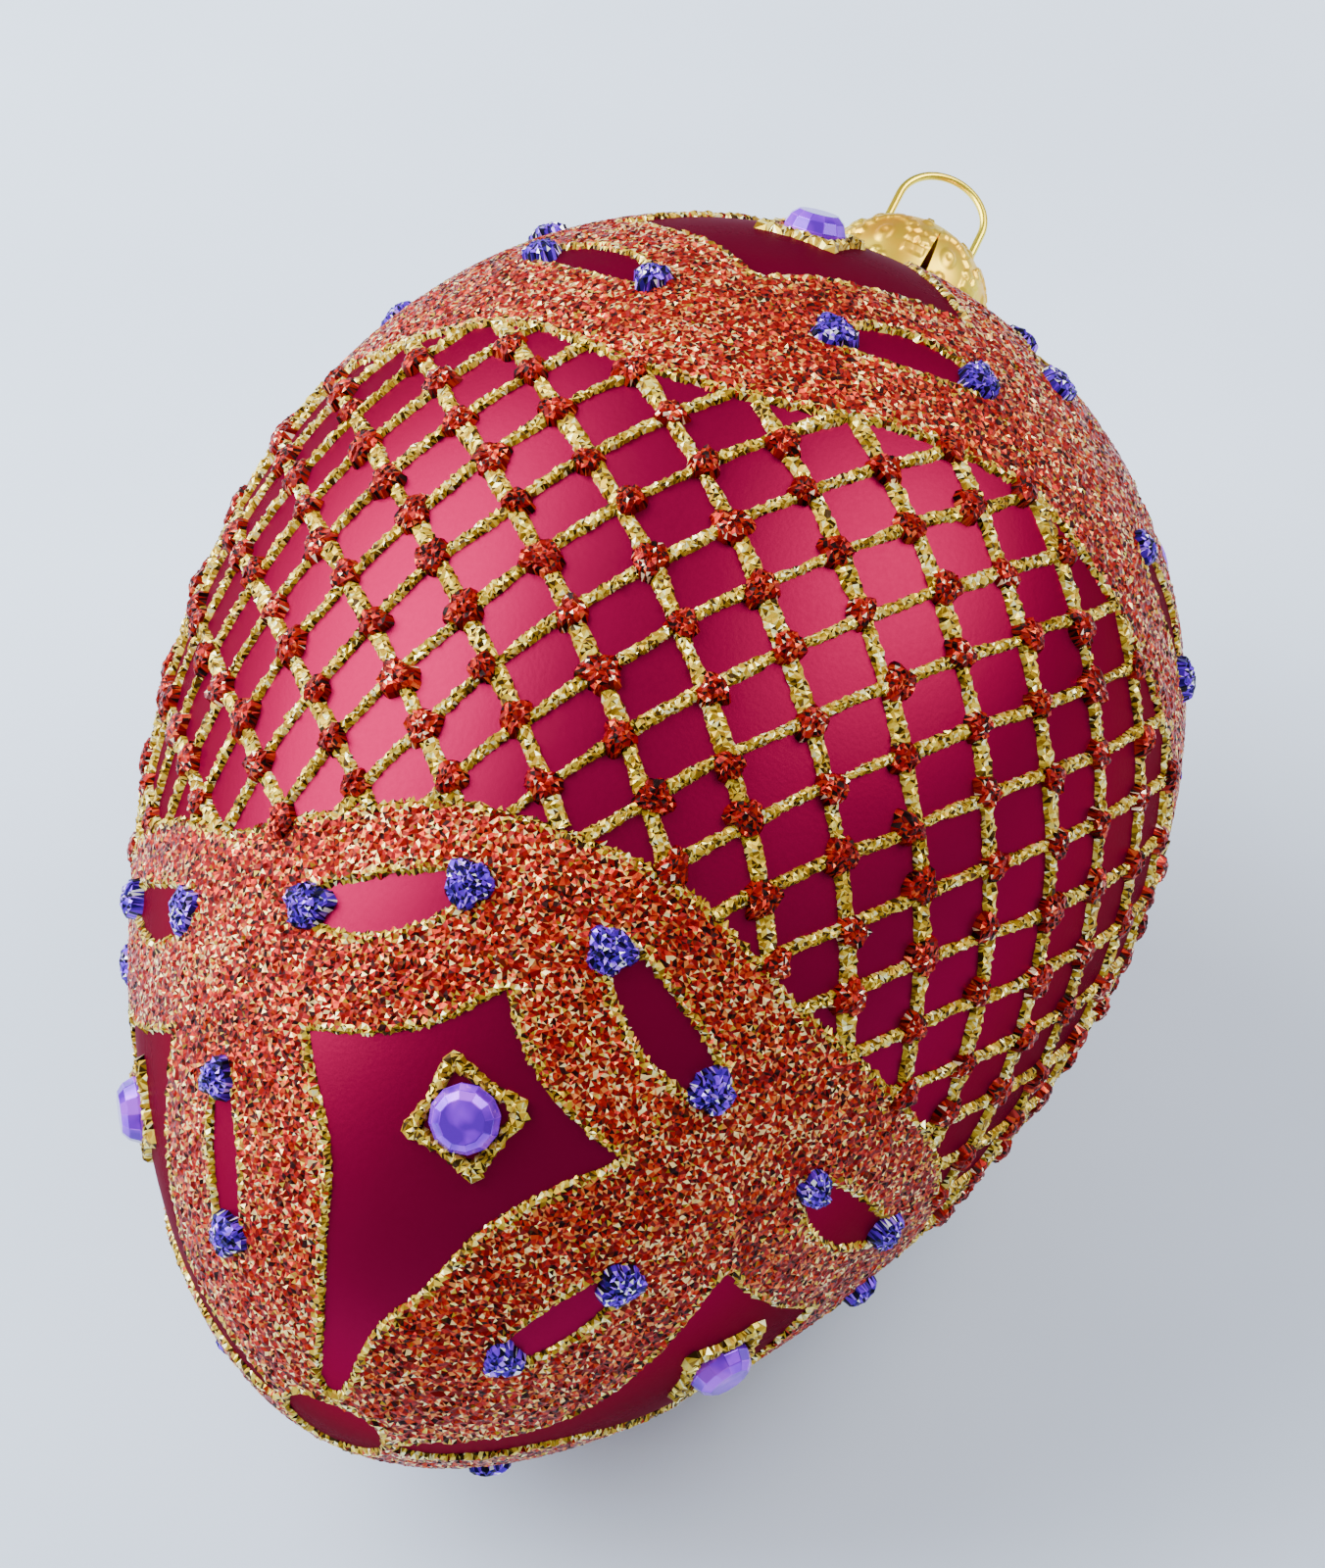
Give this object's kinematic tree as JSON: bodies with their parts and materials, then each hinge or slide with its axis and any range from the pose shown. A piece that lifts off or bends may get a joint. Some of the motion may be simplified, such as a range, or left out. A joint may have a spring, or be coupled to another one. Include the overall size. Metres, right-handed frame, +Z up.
{
  "type": "jewelled egg ornament",
  "caption": "Hollow blown-glass egg ornament lying on its side, with glitter straps and diamond net in relief, violet flat-backed stones, a pressed gold cap and a wire hanging loop",
  "frame": {"origin": "middle of the small flat spot under the egg, on the surface that it lies on", "axes": "+Z up, +X towards the cap end; the egg's axis leans 9 degrees up towards +X, and the part is longest along X"},
  "size_m": [0.1492, 0.0941, 0.0933],
  "materials": {
    "lacquered_glass": "satin burgundy lacquer over silvered glass",
    "gold_sheet": "embossed gold",
    "gold_wire": "bright",
    "copper_glitter": "mixed red, orange and gold glitter",
    "gold_glitter": "gold glitter",
    "violet_stone": "faceted, foil backed"
  },
  "bodies": {
    "root": {"glass_egg": "lacquered_glass", "ornament_cap": "gold_sheet", "hanger_wire": "gold_wire", "glitter_wreath_pointed": "copper_glitter", "glitter_wreath_blunt": "copper_glitter", "glitter_net": "gold_glitter", "gem_pointed_1": "violet_stone", "gem_pointed_2": "violet_stone", "gem_pointed_3": "violet_stone", "gem_pointed_4": "violet_stone", "gem_blunt_1": "violet_stone", "gem_blunt_2": "violet_stone", "gem_blunt_3": "violet_stone", "gem_blunt_4": "violet_stone", "gem_frame_pointed_1": "gold_glitter", "gem_frame_pointed_2": "gold_glitter", "gem_frame_pointed_3": "gold_glitter", "gem_frame_pointed_4": "gold_glitter", "gem_frame_blunt_1": "gold_glitter", "gem_frame_blunt_2": "gold_glitter", "gem_frame_blunt_3": "gold_glitter", "gem_frame_blunt_4": "gold_glitter"}
  },
  "joints": []
}
